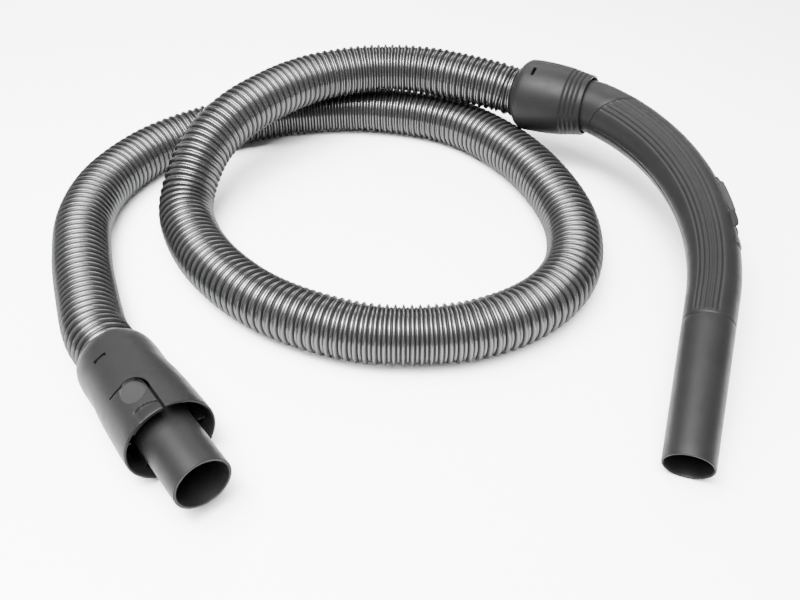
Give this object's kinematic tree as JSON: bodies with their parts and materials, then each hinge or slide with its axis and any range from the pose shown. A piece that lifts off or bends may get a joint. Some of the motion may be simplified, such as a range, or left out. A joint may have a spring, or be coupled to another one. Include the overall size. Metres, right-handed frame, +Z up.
{
  "type": "vacuum cleaner suction hose",
  "caption": "Ribbed canister-vacuum suction hose lying in a loop, with a latching machine connector and a bent grip handle with a suction slider.",
  "frame": {"origin": "on the floor, under the middle of the connector's and handle's overall extent", "axes": "+X towards the grip's outer side, +Y from the open ends towards the loop's far side, +Z up from the floor the assembly lies on"},
  "size_m": [0.5233, 0.4669, 0.0958],
  "materials": {
    "ribbed_hose": "satin silver-grey ribbed vinyl",
    "grey_plastic": "fine-grained matte dark grey",
    "pad_plastic": "matte mid grey, knurled",
    "inner_plastic": "smooth natural plastic",
    "seal_rubber": "black rubber"
  },
  "bodies": {
    "hose": {"hose": "ribbed_hose", "hose_cuff_machine": "inner_plastic", "hose_cuff_handle": "inner_plastic", "lock_ring_machine": "inner_plastic", "lock_ring_handle": "inner_plastic", "seal_ring_machine": "seal_rubber", "seal_ring_handle": "seal_rubber"},
    "connector": {"connector_housing": "grey_plastic", "inlet_spigot": "grey_plastic", "inlet_gasket": "seal_rubber", "bearing_ring_machine": "inner_plastic"},
    "latch_top": {"latch_button_top": "grey_plastic"},
    "latch_bottom": {"latch_button_bottom": "grey_plastic"},
    "handle": {"swivel_collar": "grey_plastic", "bent_tube": "grey_plastic", "grip_shell_upper": "grey_plastic", "grip_shell_lower": "grey_plastic", "regulator_frame": "grey_plastic", "bearing_ring_handle": "inner_plastic"},
    "regulator": {"regulator_slider": "grey_plastic", "slider_pad": "pad_plastic"}
  },
  "joints": [
    {"name": "connector_swivel", "type": "hinge", "parent": "hose", "child": "connector", "pos_m": [-0.2098, -0.0992, 0.0264], "axis": [0.6132, -0.7891, 0.0349], "continuous": true},
    {"name": "latch_top_press", "type": "hinge", "parent": "connector", "child": "latch_top", "pos_m": [-0.18258, -0.16578, 0.04837], "axis": [-0.6132, 0.7891, -0.0349], "range_deg": [0, 5], "stiffness_Nm_per_rad": 3},
    {"name": "latch_bottom_press", "type": "hinge", "parent": "connector", "child": "latch_bottom", "pos_m": [-0.15117, -0.1431, 0.00932], "axis": [-0.6132, 0.7891, -0.0349], "range_deg": [0, 5], "stiffness_Nm_per_rad": 3},
    {"name": "handle_swivel", "type": "hinge", "parent": "hose", "child": "handle", "pos_m": [0.0877, 0.1891, 0.0634], "axis": [0.8601, -0.5032, 0.0837], "continuous": true},
    {"name": "regulator_slide", "type": "hinge", "parent": "handle", "child": "regulator", "pos_m": [-0.00008, 0.01377, 0.01733], "axis": [0.1881, 0.1604, -0.969], "range_deg": [0, 3.9]}
  ]
}
